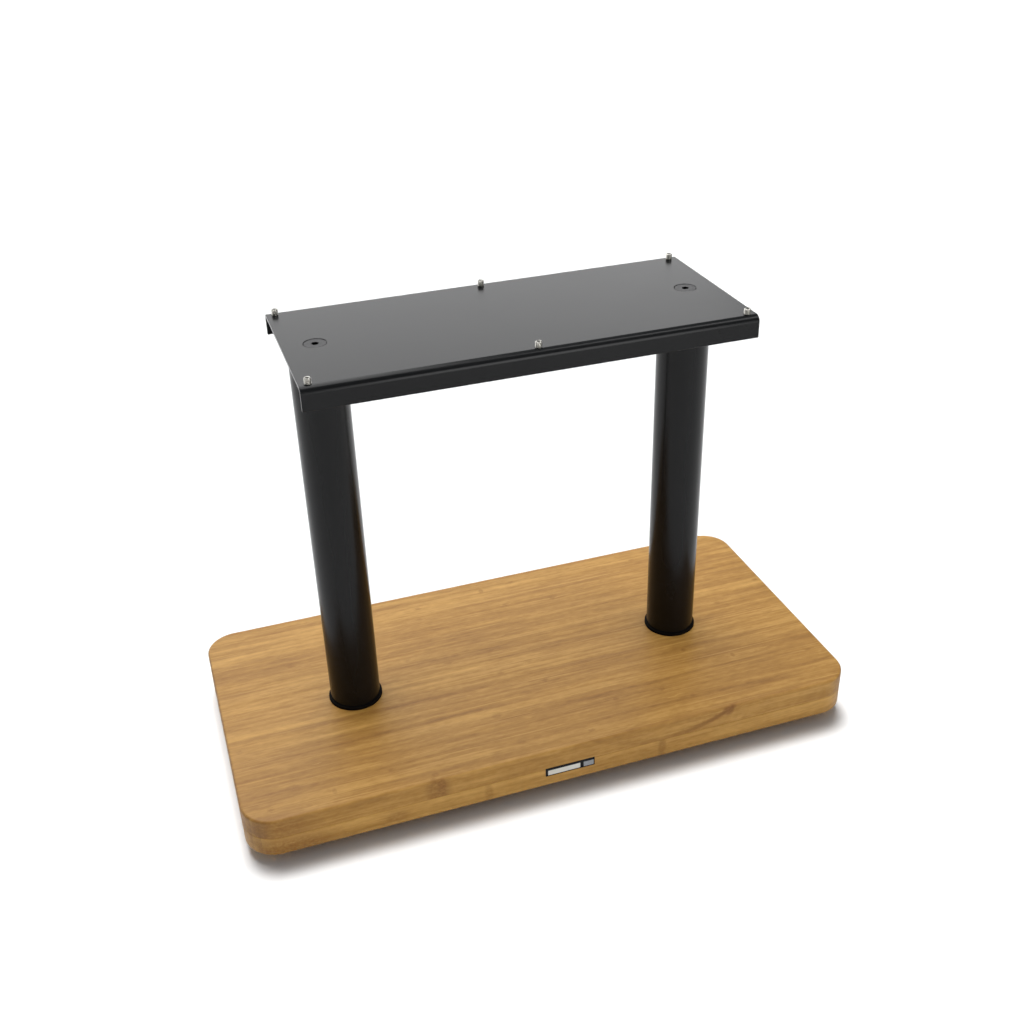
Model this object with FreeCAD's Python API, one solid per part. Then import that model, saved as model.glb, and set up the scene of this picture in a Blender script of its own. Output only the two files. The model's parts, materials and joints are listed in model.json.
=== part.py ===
import FreeCAD, Part
import math
import os

# Speaker stand, in millimetres. +X runs along the stand, +Y to the back, +Z up.
# The origin lies on the floor, under the middle of the base.

# ---- driving dimensions -------------------------------------------------
# base: two boards glued face to face
base_length = 600.0
base_depth = 295.0
upper_board_thickness = 20.0
lower_board_thickness = 20.0
base_corner_radius = 30.0
base_edge_round = 2.5
seam_chamfer = 0.35
base_gap = 11.0                # floor to the underside of the base, feet screwed in

# pillars: steel tube with a threaded plug in each end
pillar_spacing = 339.0
tube_diameter = 48.3
tube_wall = 3.2
plug_length = 20.0
gasket_lip = 1.85              # the gasket stands out this far round the tube
gasket_thickness = 3.0
gasket_edge_round = 0.6

# top plate: sheet folded down along its two long sides
plate_length = 396.0
plate_depth = 174.0
plate_thickness = 3.0
plate_fold_height = 20.0
plate_bend_radius = 6.0        # on the outside of the fold
plate_edge_round = 0.5
plate_top_above_base = 371.0

# height studs in the top plate
stud_diameter = 6.0
stud_pitch = 1.0
stud_length = 12.0
stud_height = 5.0              # above the plate
stud_end_inset = 8.0
stud_side_inset = 8.5
stud_socket_flats = 3.0
stud_socket_depth = 3.5
stud_chamfer = 0.7

# countersunk socket screws, top plate to pillars
screw_diameter = 10.0
screw_length = 20.0
screw_head_diameter = 19.0
screw_head_land = 0.5
screw_head_recess = 0.3
screw_socket_flats = 6.0
screw_socket_depth = 3.6

# hexagon bolts and washers, base to pillars
bolt_diameter = 10.0
bolt_length = 50.0
bolt_head_flats = 16.0
bolt_head_height = 6.4
washer_diameter = 30.0
washer_thickness = 2.5
counterbore_diameter = 32.0
counterbore_depth = 12.0

# levelling feet
foot_end_inset = 60.0
foot_side_inset = 55.0
stem_diameter = 8.0
stem_pitch = 1.25
stem_engagement = 17.0         # thread above the underside of the base, screwed in
collar_flats = 13.0
insert_diameter = 12.0
insert_length = 15.0
insert_flange_diameter = 20.0
insert_flange_thickness = 1.5
insert_pocket_clearance = 1.5  # above the stem's end
pad_diameter = 34.0
pad_top_diameter = 24.0
pad_rim_height = 1.6
pad_height = 6.0               # with the sole
pad_edge_round = 0.5
sole_diameter = 30.0
sole_thickness = 1.5
spigot_diameter = 7.0
spigot_bead = 0.7              # how far the snap bead stands out
spigot_neck = 1.2
spigot_cone = 0.5
spigot_band = 0.6
spigot_lead = 0.7

# blank badge let into the front edge
badge_length = 49.0
badge_height = 9.5
badge_thickness = 1.0
badge_below_base_top = 18.9
badge_corner = 0.6
badge_side_margin = 2.5
badge_field_margin = 1.0       # below and right of the inlays
badge_field_height = 5.5
badge_field_depth = 0.3
badge_long_field = 32.0
badge_short_field = 10.0

# clearances
snug_gap = 0.05                # radial, between fixed pieces that fit in each other
running_fit = 0.06             # radial, where a thread or spigot turns
seat_gap = 0.05                # between flat faces that turn on each other
bolt_clearance = 0.5           # radial, round a bolt that passes through
badge_gap = 0.1

# ---- levels and places worked out from them -----------------------------
base_bottom = base_gap
seam_level = base_bottom + lower_board_thickness
base_top = seam_level + upper_board_thickness
pillar_bottom = base_top + gasket_thickness
plate_top = base_top + plate_top_above_base
plate_underside = plate_top - plate_thickness
tube_bore_radius = tube_diameter / 2 - tube_wall
groove_depth = 0.45            # of a thread, as a share of its pitch

pillar_places = {"left": -pillar_spacing / 2, "right": pillar_spacing / 2}

foot_x = base_length / 2 - foot_end_inset
foot_y = base_depth / 2 - foot_side_inset
foot_places = {
    "front_left": (-foot_x, -foot_y),
    "front_right": (foot_x, -foot_y),
    "rear_left": (-foot_x, foot_y),
    "rear_right": (foot_x, foot_y),
}

stud_x = plate_length / 2 - stud_end_inset
stud_y = plate_depth / 2 - stud_side_inset
stud_places = {
    "front_left": (-stud_x, -stud_y),
    "front_middle": (0.0, -stud_y),
    "front_right": (stud_x, -stud_y),
    "rear_left": (-stud_x, stud_y),
    "rear_middle": (0.0, stud_y),
    "rear_right": (stud_x, stud_y),
}

up = FreeCAD.Vector(0, 0, 1)
centre = FreeCAD.Vector(0, 0, 0)


# ---- helpers ------------------------------------------------------------
def cylinder(radius, bottom, top, x=0.0, y=0.0):
    """Upright cylinder between two levels."""
    return Part.makeCylinder(radius, top - bottom, FreeCAD.Vector(x, y, bottom))


def turned(points):
    """Solid of revolution about Z from an outline of (radius, level) points."""
    outline = [FreeCAD.Vector(radius, 0, level) for radius, level in points]
    face = Part.Face(Part.makePolygon(outline + outline[:1]))
    return face.revolve(centre, up, 360)


def hexagon(flats, bottom, top):
    """Upright hexagonal prism, measured across its flats."""
    corner_radius = flats / 2 / math.cos(math.pi / 6)
    corners = []
    for side in range(7):
        angle = side * math.pi / 3
        corners.append(FreeCAD.Vector(corner_radius * math.cos(angle), corner_radius * math.sin(angle), bottom))
    return Part.Face(Part.makePolygon(corners)).extrude(FreeCAD.Vector(0, 0, top - bottom))


def slab(length, depth, bottom, top, corner_radius):
    """Flat board with its four upright corners rounded."""
    block = Part.makeBox(length, depth, top - bottom, FreeCAD.Vector(-length / 2, -depth / 2, bottom))
    uprights = [edge for edge in block.Edges if abs(edge.Vertexes[0].Z - edge.Vertexes[1].Z) > 1e-6]
    return block.makeFillet(corner_radius, uprights)


def rim(solid, level):
    """Edges that lie wholly at one level."""
    return [edge for edge in solid.Edges
            if abs(edge.BoundBox.ZMin - level) < 1e-6 and abs(edge.BoundBox.ZMax - level) < 1e-6]


def thread(diameter, pitch, bottom, top, chamfer=0.0):
    """Threaded rod as stacked V grooves, between two levels, with plain ends."""
    crest = diameter / 2
    root = crest - groove_depth * pitch
    turns = int((top - bottom - 2 * chamfer) / pitch)
    first = bottom + (top - bottom - turns * pitch) / 2
    points = [(0, bottom), (crest - chamfer, bottom)]
    if chamfer > 0:
        points.append((crest, bottom + chamfer))
    for turn in range(turns):
        groove = first + turn * pitch
        points += [(crest, groove + pitch / 8), (root, groove + pitch / 2), (crest, groove + pitch * 7 / 8)]
    if chamfer > 0:
        points.append((crest, top - chamfer))
    points += [(crest - chamfer, top), (0, top)]
    return turned(points)


def moved(solid, place):
    """Copy of a solid made on the Z axis, at an (x, y) place."""
    copy = solid.copy()
    copy.translate(FreeCAD.Vector(place[0], place[1], 0))
    return copy


def save(node, solids):
    """Write one node, of one solid or a group of separate ones."""
    for solid in solids:
        if not solid.isValid() or solid.Volume <= 0:
            raise ValueError(node + " is not a valid solid")
    shape = solids[0] if len(solids) == 1 else Part.makeCompound(solids)
    shape.exportStep("parts/" + node + ".step")
    box = shape.BoundBox
    print(f"{node}: {len(shape.Solids)} solid(s), {shape.Volume / 1000:.2f} cm3, "
          f"x {box.XMin:.2f} to {box.XMax:.2f}, y {box.YMin:.2f} to {box.YMax:.2f}, "
          f"z {box.ZMin:.2f} to {box.ZMax:.2f}")


# ---- badge --------------------------------------------------------------
badge_top = base_top - badge_below_base_top
badge_bottom = badge_top - badge_height
badge_front = -base_depth / 2


def badge_block(left, right, bottom, top, depth, corner):
    """Flat block let into the front edge, with rounded corners seen from the front."""
    block = Part.makeBox(right - left, depth, top - bottom, FreeCAD.Vector(left, badge_front, bottom))
    corners = [edge for edge in block.Edges
               if abs(edge.Vertexes[0].Y - edge.Vertexes[1].Y) > 1e-6]
    return block.makeFillet(corner, corners)


def badge_fields(grow):
    """The two blank fields, grown on every side for the pockets that hold them."""
    bottom = badge_bottom + badge_field_margin
    top = bottom + badge_field_height
    long_left = -badge_length / 2 + badge_side_margin
    short_right = badge_length / 2 - badge_field_margin
    spans = [(long_left, long_left + badge_long_field), (short_right - badge_short_field, short_right)]
    return [badge_block(left - grow, right + grow, bottom - grow, top + grow,
                        badge_field_depth, badge_corner / 2 + grow)
            for left, right in spans]


def make_badge():
    left = -badge_length / 2
    plate = badge_block(left, -left, badge_bottom, badge_top, badge_thickness, badge_corner)
    for pocket in badge_fields(snug_gap):
        plate = plate.cut(pocket)
    long_field, short_field = badge_fields(0.0)
    save("badge_plate", [plate.Solids[0]])
    save("badge_field_long", [long_field])
    save("badge_field_short", [short_field])


def badge_pocket():
    left = -badge_length / 2 - badge_gap
    return badge_block(left, -left, badge_bottom - badge_gap, badge_top + badge_gap,
                       badge_thickness, badge_corner + badge_gap)


# ---- base ---------------------------------------------------------------
stem_top = base_bottom + stem_engagement
washer_seat = base_bottom + counterbore_depth


def base_bores():
    """Everything bored into the base from below, whichever board it ends in."""
    hole_radius = bolt_diameter / 2 + bolt_clearance
    insert_radius = insert_diameter / 2 + snug_gap
    flange_radius = insert_flange_diameter / 2 + snug_gap
    pocket_top = stem_top + insert_pocket_clearance
    flange_top = base_bottom + insert_flange_thickness
    bores = []
    for x in pillar_places.values():
        bores.append(cylinder(hole_radius, base_bottom, base_top, x))
        bores.append(cylinder(counterbore_diameter / 2, base_bottom, washer_seat, x))
    for x, y in foot_places.values():
        bores.append(cylinder(insert_radius, base_bottom, pocket_top, x, y))
        bores.append(cylinder(flange_radius, base_bottom, flange_top, x, y))
    return bores


def make_boards():
    upper = slab(base_length, base_depth, seam_level, base_top, base_corner_radius)
    upper = upper.makeFillet(base_edge_round, rim(upper, base_top))
    lower = slab(base_length, base_depth, base_bottom, seam_level, base_corner_radius)
    lower = lower.makeFillet(base_edge_round, rim(lower, base_bottom))
    for node, board in (("base_board_upper", upper), ("base_board_lower", lower)):
        board = board.makeChamfer(seam_chamfer, rim(board, seam_level))
        for bore in base_bores() + [badge_pocket()]:
            board = board.cut(bore)
        save(node, [board.Solids[0]])


def make_base_bolts():
    head_top = washer_seat - washer_thickness
    head = hexagon(bolt_head_flats, head_top - bolt_head_height, head_top)
    shank = cylinder(bolt_diameter / 2, head_top, head_top + bolt_length)
    bolt = head.fuse(shank).removeSplitter()
    washer = cylinder(washer_diameter / 2, head_top, washer_seat)
    washer = washer.cut(cylinder(bolt_diameter / 2 + bolt_clearance / 2, head_top, washer_seat))
    save("base_bolts", [moved(bolt, (x, 0)) for x in pillar_places.values()])
    save("base_bolt_washers", [moved(washer, (x, 0)) for x in pillar_places.values()])


# ---- pillars ------------------------------------------------------------
def screw_head(bottom_radius, grow, top):
    """Countersunk head under a level: a 90 degree cone, and the land above it unless it is a cutter."""
    land_bottom = plate_top - screw_head_recess - screw_head_land
    widest = screw_head_diameter / 2 + grow
    cone_bottom = land_bottom - (widest - bottom_radius)
    if grow > 0:
        widest += top - land_bottom
        return turned([(0, cone_bottom), (bottom_radius, cone_bottom), (widest, top), (0, top)])
    return turned([(0, cone_bottom), (bottom_radius, cone_bottom), (widest, land_bottom),
                   (widest, top), (0, top)])


def make_pillars():
    hole_radius = bolt_diameter / 2 + bolt_clearance
    plug_radius = tube_bore_radius - snug_gap
    countersink = screw_head(screw_diameter / 2 + snug_gap, snug_gap, plate_top)
    tube = cylinder(tube_diameter / 2, pillar_bottom, plate_underside)
    tube = tube.cut(cylinder(tube_bore_radius, pillar_bottom, plate_underside))
    gasket = cylinder(tube_diameter / 2 + gasket_lip, base_top, pillar_bottom)
    gasket = gasket.makeFillet(gasket_edge_round, rim(gasket, pillar_bottom))
    gasket = gasket.cut(cylinder(hole_radius, base_top, pillar_bottom))
    bottom_plug = cylinder(plug_radius, pillar_bottom, pillar_bottom + plug_length)
    bottom_plug = bottom_plug.cut(cylinder(bolt_diameter / 2 + snug_gap, pillar_bottom,
                                           pillar_bottom + plug_length))
    top_plug = cylinder(plug_radius, plate_underside - plug_length, plate_underside)
    top_plug = top_plug.cut(cylinder(screw_diameter / 2 + snug_gap, plate_underside - plug_length,
                                     plate_underside))
    top_plug = top_plug.cut(countersink)
    for side, x in pillar_places.items():
        save("pillar_tube_" + side, [moved(tube, (x, 0))])
        save("pillar_gasket_" + side, [moved(gasket, (x, 0))])
        save("bottom_plug_" + side, [moved(bottom_plug, (x, 0))])
        save("top_plug_" + side, [moved(top_plug, (x, 0))])


# ---- top plate ----------------------------------------------------------
def bend(y, level, radius, side):
    """Quarter round of the fold, from its upright face to its flat one. side is -1 in front, 1 behind."""
    half = math.sqrt(0.5) * radius
    upright = FreeCAD.Vector(0, y + side * radius, level)
    middle = FreeCAD.Vector(0, y + side * half, level + half)
    flat = FreeCAD.Vector(0, y, level + radius)
    return Part.Arc(upright, middle, flat).toShape()


def make_top_plate():
    bend_y = plate_depth / 2 - plate_bend_radius
    bend_level = plate_top - plate_bend_radius
    hem = plate_top - plate_fold_height
    inside_radius = plate_bend_radius - plate_thickness
    outer_front = bend(-bend_y, bend_level, plate_bend_radius, -1)
    outer_rear = bend(bend_y, bend_level, plate_bend_radius, 1)
    inner_front = bend(-bend_y, bend_level, inside_radius, -1)
    inner_rear = bend(bend_y, bend_level, inside_radius, 1)

    def point(y, level):
        return FreeCAD.Vector(0, y, level)

    outer_y = plate_depth / 2
    inner_y = outer_y - plate_thickness
    edges = [
        Part.makeLine(point(-outer_y, hem), point(-outer_y, bend_level)),
        outer_front,
        Part.makeLine(point(-bend_y, plate_top), point(bend_y, plate_top)),
        outer_rear,
        Part.makeLine(point(outer_y, bend_level), point(outer_y, hem)),
        Part.makeLine(point(outer_y, hem), point(inner_y, hem)),
        Part.makeLine(point(inner_y, hem), point(inner_y, bend_level)),
        inner_rear,
        Part.makeLine(point(bend_y, plate_underside), point(-bend_y, plate_underside)),
        inner_front,
        Part.makeLine(point(-inner_y, bend_level), point(-inner_y, hem)),
        Part.makeLine(point(-inner_y, hem), point(-outer_y, hem)),
    ]
    section = Part.Face(Part.Wire(Part.__sortEdges__(edges)))
    section.translate(FreeCAD.Vector(-plate_length / 2, 0, 0))
    plate = section.extrude(FreeCAD.Vector(plate_length, 0, 0))
    outside = [edge for edge in plate.Edges
               if abs(edge.BoundBox.XLength) < 1e-6 or abs(edge.BoundBox.ZMax - hem) < 1e-6]
    plate = plate.makeFillet(plate_edge_round, outside)
    countersink = screw_head(screw_diameter / 2 + snug_gap, snug_gap, plate_top)
    through = cylinder(screw_diameter / 2 + snug_gap, plate_underside, plate_top)
    for x in pillar_places.values():
        plate = plate.cut(moved(countersink, (x, 0)))
        plate = plate.cut(moved(through, (x, 0)))
    tapped_radius = stud_diameter / 2 + running_fit
    for x, y in stud_places.values():
        plate = plate.cut(cylinder(tapped_radius, plate_top - plate_bend_radius, plate_top, x, y))
    save("top_plate", [plate.Solids[0]])


def make_top_screws():
    head_top = plate_top - screw_head_recess
    head = screw_head(screw_diameter / 2, 0.0, head_top)
    shank = cylinder(screw_diameter / 2, head_top - screw_length, head_top - screw_head_land)
    screw = head.fuse(shank).removeSplitter()
    screw = screw.cut(hexagon(screw_socket_flats, head_top - screw_socket_depth, head_top))
    save("top_plate_screws", [moved(screw, (x, 0)) for x in pillar_places.values()])


def make_studs():
    stud_top = plate_top + stud_height
    stud = thread(stud_diameter, stud_pitch, stud_top - stud_length, stud_top, stud_chamfer)
    stud = stud.cut(hexagon(stud_socket_flats, stud_top - stud_socket_depth, stud_top))
    for corner, place in stud_places.items():
        save("top_stud_" + corner, [moved(stud, place)])


# ---- levelling feet -----------------------------------------------------
def spigot_outline(top, grow):
    """Snap spigot that hangs from a level into the pad, or the socket for it when grown."""
    neck = spigot_diameter / 2 + grow
    bead = neck + spigot_bead
    cone_top = top - spigot_neck + grow
    band_top = cone_top - spigot_cone
    band_bottom = top - spigot_neck - spigot_cone - spigot_band - grow
    tip = band_bottom - spigot_lead
    return [(0, top), (neck, top), (neck, cone_top), (bead, band_top),
            (bead, band_bottom), (neck, tip), (0, tip)]


def make_feet():
    collar_bottom = pad_height + seat_gap
    collar_top = base_bottom - seat_gap
    stem = thread(stem_diameter, stem_pitch, collar_top, stem_top)
    stem = stem.fuse(hexagon(collar_flats, collar_bottom, collar_top))
    stem = stem.fuse(turned(spigot_outline(collar_bottom, 0.0))).removeSplitter()

    pad = turned([(0, sole_thickness), (pad_diameter / 2, sole_thickness),
                  (pad_diameter / 2, sole_thickness + pad_rim_height),
                  (pad_top_diameter / 2, pad_height), (0, pad_height)])
    rounded = [edge for level in (sole_thickness, sole_thickness + pad_rim_height, pad_height)
               for edge in rim(pad, level)]
    pad = pad.makeFillet(pad_edge_round, rounded)
    pad = pad.cut(turned(spigot_outline(collar_bottom, running_fit)))

    sole = cylinder(sole_diameter / 2, 0, sole_thickness)

    flange_top = base_bottom + insert_flange_thickness
    insert = cylinder(insert_diameter / 2, base_bottom, base_bottom + insert_length)
    insert = insert.fuse(cylinder(insert_flange_diameter / 2, base_bottom, flange_top))
    insert = insert.cut(cylinder(stem_diameter / 2 + running_fit, base_bottom, base_bottom + insert_length))

    save("foot_inserts", [moved(insert, place).Solids[0] for place in foot_places.values()])
    for corner, place in foot_places.items():
        save("foot_stem_" + corner, [moved(stem, place)])
        save("foot_pad_" + corner, [moved(pad, place)])
        save("foot_sole_" + corner, [moved(sole, place)])


os.makedirs("parts", exist_ok=True)
make_boards()
make_badge()
make_base_bolts()
make_pillars()
make_top_plate()
make_top_screws()
make_studs()
make_feet()
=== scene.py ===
# %% [markdown]
# # A speaker stand, dressed in Blender
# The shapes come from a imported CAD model: a bamboo base made of two boards, two black
# steel pillars and a folded steel plate with six small studs. Here each piece gets the
# finish of the real one, and the screws that show their threads are made again with a
# true helix. Everything is in metres, +X along the stand, +Y to the back, +Z up.

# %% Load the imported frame
import json
import math

import bpy
import numpy as np
from mathutils import Matrix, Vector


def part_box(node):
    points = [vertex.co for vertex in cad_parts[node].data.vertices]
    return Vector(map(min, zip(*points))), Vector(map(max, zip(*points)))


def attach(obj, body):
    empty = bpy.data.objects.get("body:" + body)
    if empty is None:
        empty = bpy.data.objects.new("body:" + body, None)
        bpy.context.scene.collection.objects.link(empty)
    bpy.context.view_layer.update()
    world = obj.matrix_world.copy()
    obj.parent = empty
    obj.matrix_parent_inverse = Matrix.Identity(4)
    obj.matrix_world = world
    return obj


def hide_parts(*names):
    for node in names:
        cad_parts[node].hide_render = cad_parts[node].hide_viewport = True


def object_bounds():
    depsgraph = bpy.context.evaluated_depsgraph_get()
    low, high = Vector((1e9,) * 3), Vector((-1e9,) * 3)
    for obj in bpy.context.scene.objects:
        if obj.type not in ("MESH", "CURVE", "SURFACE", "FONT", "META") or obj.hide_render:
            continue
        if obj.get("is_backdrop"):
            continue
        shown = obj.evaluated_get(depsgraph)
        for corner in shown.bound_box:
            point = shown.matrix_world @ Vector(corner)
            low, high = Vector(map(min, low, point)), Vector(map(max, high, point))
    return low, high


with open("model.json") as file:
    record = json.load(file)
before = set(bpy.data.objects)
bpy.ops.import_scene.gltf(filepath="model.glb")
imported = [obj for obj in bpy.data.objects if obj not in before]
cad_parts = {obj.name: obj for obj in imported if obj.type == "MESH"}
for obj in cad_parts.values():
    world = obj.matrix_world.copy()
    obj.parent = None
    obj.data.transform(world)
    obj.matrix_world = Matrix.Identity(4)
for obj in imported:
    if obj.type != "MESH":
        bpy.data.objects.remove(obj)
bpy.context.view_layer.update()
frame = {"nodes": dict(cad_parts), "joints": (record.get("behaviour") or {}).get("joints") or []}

nodes = frame["nodes"]
MM = 0.001

# %% [markdown]
# ## The camera
# The photograph was taken from the front left, looking down by some thirty degrees. The
# place and the three angles below are the result of fitting straight edges of the stand,
# so the picture and the render can be laid over each other. The lens value is the fitted
# focal length in pixels, taken to a sensor 36 mm wide and an image 1024 pixels wide.

# %% Place the camera
CAMERA_PLACE = (-0.3070935, -0.9446207, 0.8066490)
CAMERA_YAW, CAMERA_PITCH, CAMERA_ROLL = 0.3125411, -0.5315758, -0.0307675
FOCAL_PIXELS, IMAGE_PIXELS, SENSOR_MM = 1210.2079, 1024, 36.0
SIGHT_METRES = 100.0


def camera_axes(yaw, pitch, roll):
    """Right, up and back of a camera that looks along (sin yaw cos pitch, cos yaw cos
    pitch, sin pitch), its right made level and then turned about the line of sight by
    roll."""
    ahead = np.array([math.sin(yaw) * math.cos(pitch), math.cos(yaw) * math.cos(pitch),
                      math.sin(pitch)])
    right = np.cross(ahead, (0.0, 0.0, 1.0))
    right /= np.linalg.norm(right)
    up = np.cross(right, ahead)
    turned_right = math.cos(roll) * right + math.sin(roll) * up
    turned_up = -math.sin(roll) * right + math.cos(roll) * up
    return turned_right, turned_up, -ahead


def set_place(piece, right, up, back, place):
    """Put a camera or a light at a place, its three axes as the columns of its matrix."""
    turn = np.eye(4)
    turn[:3, :3] = np.array([right, up, back]).T
    turn[:3, 3] = place
    piece.matrix_world = Matrix(turn.tolist())


scene = bpy.context.scene
camera_data = bpy.data.cameras.new("camera")
camera_data.sensor_width = SENSOR_MM
camera_data.lens = FOCAL_PIXELS / IMAGE_PIXELS * SENSOR_MM
camera_data.clip_end = SIGHT_METRES
camera = bpy.data.objects.new("camera", camera_data)
scene.collection.objects.link(camera)
set_place(camera, *camera_axes(CAMERA_YAW, CAMERA_PITCH, CAMERA_ROLL), CAMERA_PLACE)
scene.camera = camera
print(f"lens {camera_data.lens:.2f} mm")

# %% [markdown]
# ## Small tools for materials
# Colours are written as the six figures that a paint program shows. Shaders need them
# linear, so one function does that sum. Another adds a node, sets what it is told and
# links its inputs. Sums and blends of colour are so common that each has a short
# function of its own, which keeps every material short enough to read.

# %% Colour and node tools
def linear(hex_colour):
    """Linear RGBA of an sRGB hex colour: a channel c is c / 12.92 when small, and else
    ((c + 0.055) / 1.055) to the power 2.4."""
    channels = np.array([int(hex_colour[k:k + 2], 16) / 255 for k in (1, 3, 5)])
    curve = np.where(channels <= 0.04045, channels / 12.92, ((channels + 0.055) / 1.055) ** 2.4)
    return (*[float(c) for c in curve], 1.0)


def add(tree, kind, sockets=None, **settings):
    """A new node in a tree. Settings are its own properties. Sockets go by name or number,
    each with a value or with the output that feeds it."""
    node = tree.nodes.new(kind)
    for name, value in settings.items():
        setattr(node, name, value)
    for key, value in (sockets or {}).items():
        if isinstance(value, bpy.types.NodeSocket):
            tree.links.new(value, node.inputs[key])
        else:
            node.inputs[key].default_value = value
    return node


def maths(tree, operation, *values, clamp=False):
    """One sum, such as ADD, on values or outputs. MULTIPLY_ADD is the first times the
    second, plus the third."""
    return add(tree, "ShaderNodeMath", dict(enumerate(values)), operation=operation,
               use_clamp=clamp).outputs[0]


def vector_sum(tree, one, other):
    """Two places added, axis by axis."""
    return add(tree, "ShaderNodeVectorMath", {0: one, 1: other}, operation="ADD").outputs[0]


def vector_length(tree, vector):
    """Distance of a place from the origin."""
    return add(tree, "ShaderNodeVectorMath", {0: vector}, operation="LENGTH").outputs["Value"]


def blend(tree, share, one, other):
    """A colour between two, each a hex colour or an output: the first where the share is
    0, the other where it is 1."""
    one, other = (linear(c) if isinstance(c, str) else c for c in (one, other))
    return add(tree, "ShaderNodeMix", {0: share, 6: one, 7: other}, data_type="RGBA").outputs[2]


def start_material(name):
    """An empty material: its tree, and the object coordinates that its patterns use."""
    material = bpy.data.materials.new(name)
    material.use_nodes = True
    material.node_tree.nodes.clear()
    place = add(material.node_tree, "ShaderNodeTexCoord").outputs["Object"]
    return material, material.node_tree, place


def finish_material(tree, sockets):
    """The surface shader and the output, once the patterns are made."""
    surface = add(tree, "ShaderNodeBsdfPrincipled", sockets)
    add(tree, "ShaderNodeOutputMaterial", {"Surface": surface.outputs[0]})


# %% [markdown]
# ## Patterns that more than one finish needs
# Almost every surface has a fine grain of its own: the ripple of a coat, the pores of
# rubber, the marks of turning. All are noise at a size in millimetres, stretched where
# the process has a direction. One helper makes the noise at such a size, one takes it to
# the range that is needed, and one turns a pattern into bump of a real height.

# %% Noise and relief at real sizes
def grain(tree, place, size_mm, detail=2.0, roughness=0.5):
    """Noise from 0 to 1 whose lumps are about size_mm across, given along x, y and z. The
    place is divided by the size, so that one noise cell is one lump."""
    scale = tuple(1.0 / (s * MM) for s in size_mm)
    scaled = add(tree, "ShaderNodeMapping", {"Vector": place, "Scale": scale})
    noise = add(tree, "ShaderNodeTexNoise", {"Vector": scaled.outputs[0], "Scale": 1.0,
                                             "Detail": detail, "Roughness": roughness})
    return noise.outputs["Fac"]


def spread(tree, pattern, low, high, from_low=0.3, from_high=0.7, smooth=False):
    """A pattern taken from one range of values to another, and held at the ends. Noise
    seldom leaves 0.3 to 0.7, so that is the range it is taken from if none is given."""
    return add(tree, "ShaderNodeMapRange",
               {"Value": pattern, "From Min": from_low, "From Max": from_high,
                "To Min": low, "To Max": high},
               interpolation_type="SMOOTHSTEP" if smooth else "LINEAR").outputs[0]


def relief(tree, pattern, height_mm, under=None):
    """Bump whose pattern from 0 to 1 stands for a height in millimetres, on top of
    another bump where one is given."""
    sockets = {"Height": pattern, "Strength": 1.0, "Distance": height_mm * MM}
    if under is not None:
        sockets["Normal"] = under
    return add(tree, "ShaderNodeBump", sockets).outputs[0]


# %% [markdown]
# ## Bamboo
# The boards are laminated bamboo. The stalk is split into strips, steamed until the
# sugar in it turns caramel, planed, set on edge side by side and glued, then sanded
# and lacquered satin. The eye gets long quiet stripes some six millimetres wide, each
# with its own tone, fine fibres inside them, and a small darker mark where a strip
# passes a joint of the stalk. On the front edge one strip shows its broad side, and
# the round ends show fibres cut across, as darker speckle.
#
# A picture of wood could be wrapped round the board, but it would smear over the round
# corners. Here the wood is solid instead: colour depends on the place in the board, so
# the stripes run over the edge and turn into dots on the end as in the real thing.

# %% Bamboo: the strips
board_low, board_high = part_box("base_board_upper")
FRONT_MM = round(board_low.y / MM, 3)
TOP_MM = round(board_high.z / MM, 3)
STRIP_MM = 6.6                       # thickness of one strip, set on edge
STRIP_EDGE_MM = -FRONT_MM + 1.2      # the first strip starts a little outside the front
print(f"front face at y {FRONT_MM} mm, top at z {TOP_MM} mm")


def dice(tree, x, y, z):
    """A node with random values, always the same ones for the same three numbers."""
    numbers = add(tree, "ShaderNodeCombineXYZ", {"X": x, "Y": y, "Z": z}).outputs[0]
    return add(tree, "ShaderNodeTexWhiteNoise", {"Vector": numbers}, noise_dimensions="3D")


def strips(tree, place, seed):
    """The place split into x, y and z, the number of the strip it lies in, how far across
    that strip it is from 0 to 1, and random values for the strip. The number is the whole
    part of y over the width."""
    split = add(tree, "ShaderNodeSeparateXYZ", {0: place})
    across = maths(tree, "MULTIPLY_ADD", split.outputs["Y"], 1 / (STRIP_MM * MM),
                   STRIP_EDGE_MM / STRIP_MM)
    number = maths(tree, "FLOOR", across)
    share = maths(tree, "FRACT", across)
    return split, number, share, dice(tree, number, seed, 0.5)


# %% [markdown]
# A joint shows as a small dark smudge in its strip, some seven millimetres long. It is
# the distance from the joint along the strip and from the middle of the strip across
# it, roughened by noise, so no two look alike. Most joints are planed away and faint,
# and a random value for each one decides how much of it is left.

# %% Bamboo: the joints of the stalk
JOINT_SPACING_MM = 302.0      # from one joint of the stalk to the next
JOINT_LENGTH_MM = 4.0         # half the length of a joint's smudge
JOINT_WIDTH = 1.1             # half its width, in the same units, where 1 is its edge
JOINT_DARKEST = 0.42


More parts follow.
